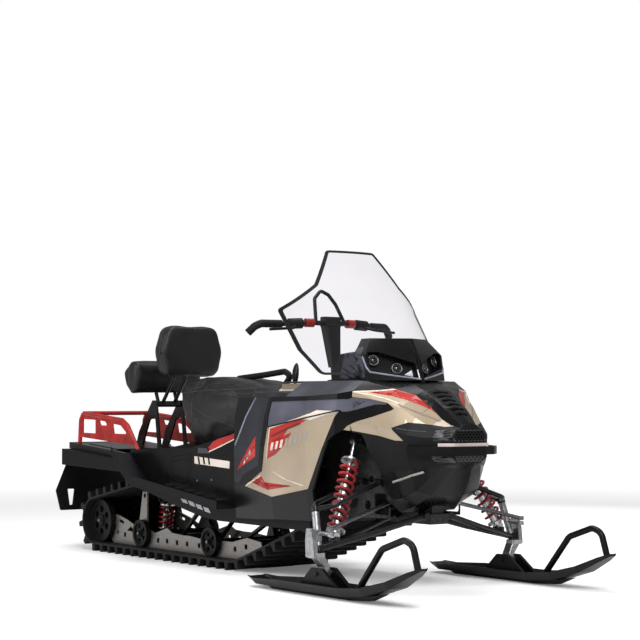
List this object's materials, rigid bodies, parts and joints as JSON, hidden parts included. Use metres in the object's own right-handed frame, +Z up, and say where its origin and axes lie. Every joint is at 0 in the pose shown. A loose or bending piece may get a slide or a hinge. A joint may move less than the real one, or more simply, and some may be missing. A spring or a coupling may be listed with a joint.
{
  "type": "utility snowmobile",
  "caption": "Long-track utility snowmobile with steered skis, a tall windshield, a two-up seat with backrests and a rear cargo rack.",
  "frame": {"origin": "on the ground, on the centre line, half way between the ski tips and the rear end", "axes": "+X forward, +Y to the rider's left, +Z up"},
  "size_m": [3.17, 1.126, 1.398],
  "materials": {
    "black_plastic": "moulded, satin",
    "charcoal_plastic": "painted, satin",
    "gold_paint": "satin metallic",
    "red_paint": "gloss",
    "black_steel": "powder coated",
    "aluminium": "as made",
    "forged_aluminium": "bright forged",
    "rubber": "moulded",
    "upholstery": "vinyl cover over foam",
    "clear_screen": "clear polycarbonate",
    "lamp_glass": "clear",
    "engine_casting": "cast",
    "spring_red": "gloss"
  },
  "bodies": {
    "root": {"track": "rubber", "skid_wheels": "black_plastic", "drive_axle": "black_steel", "slide_rails": "aluminium", "swing_arms": "black_steel", "suspension_arms": "black_steel", "shocks": "aluminium", "springs": "spring_red", "tunnel": "black_steel", "running_boards": "black_steel", "bulkhead": "aluminium", "engine_block": "engine_casting", "hood": "black_plastic", "cheeks": "gold_paint", "belly_pan": "black_plastic", "fascia": "black_plastic", "lamp_strip": "lamp_glass", "bumper": "black_plastic", "side_panels": "gold_paint", "upper_panels": "charcoal_plastic", "side_frames": "black_plastic", "footwell_columns": "charcoal_plastic", "console": "black_plastic", "windshield": "clear_screen", "windshield_trim": "black_plastic", "headlamp_pod": "black_plastic", "headlamps": "lamp_glass", "seat": "upholstery", "seat_base": "black_plastic", "tunnel_covers": "black_plastic", "tank_cover": "gold_paint", "grab_handle": "rubber", "backrest_stand": "black_steel", "cargo_rack": "black_steel", "rack_hoops": "red_paint", "snow_flap": "rubber", "hitch": "black_steel"},
    "handlebar": {"handlebar": "black_steel", "grips": "rubber", "switch_blocks": "black_plastic", "bar_clamps": "red_paint"},
    "ski_left": {"spindle_left": "forged_aluminium", "ski_left": "black_plastic"},
    "ski_right": {"spindle_right": "forged_aluminium", "ski_right": "black_plastic"},
    "steering_link": {"tie_rods": "forged_aluminium"},
    "front_backrest": {"front_backrest_pad": "upholstery", "front_backrest_frame": "black_steel"},
    "rear_backrest": {"rear_backrest_pad": "upholstery", "rear_backrest_frame": "black_steel"}
  },
  "joints": [
    {"name": "steering", "type": "hinge", "parent": "root", "child": "handlebar", "pos_m": [0.421, 0, 0.76], "axis": [-0.114, 0, 0.9935], "range_deg": [-30, 30]},
    {"name": "ski_left_steer", "type": "hinge", "parent": "root", "child": "ski_left", "pos_m": [0.981, 0.51, 0.182], "axis": [-0.2915, -0.1077, 0.9505], "range_deg": [-30.1, 30.1]},
    {"name": "ski_right_steer", "type": "hinge", "parent": "root", "child": "ski_right", "pos_m": [0.981, -0.51, 0.182], "axis": [-0.2915, 0.1077, 0.9505], "range_deg": [-30.1, 30.1]},
    {"name": "steering_link_slide", "type": "slide", "parent": "root", "child": "steering_link", "axis": [0, 1, 0], "range_m": [-0.0432, 0.0432]},
    {"name": "front_backrest_tilt", "type": "hinge", "parent": "root", "child": "front_backrest", "pos_m": [-0.964, 0, 0.739], "axis": [0, 1, 0], "range_deg": [-15, 8]},
    {"name": "rear_backrest_tilt", "type": "hinge", "parent": "root", "child": "rear_backrest", "pos_m": [-0.964, 0, 0.739], "axis": [0, 1, 0], "range_deg": [-30, 5]}
  ],
  "couplings": [
    {"joint": "ski_left_steer", "follows": "steering", "ratio": 1},
    {"joint": "ski_right_steer", "follows": "steering", "ratio": 1},
    {"joint": "steering_link_slide", "follows": "steering", "m_per_rad": 0.08212}
  ]
}
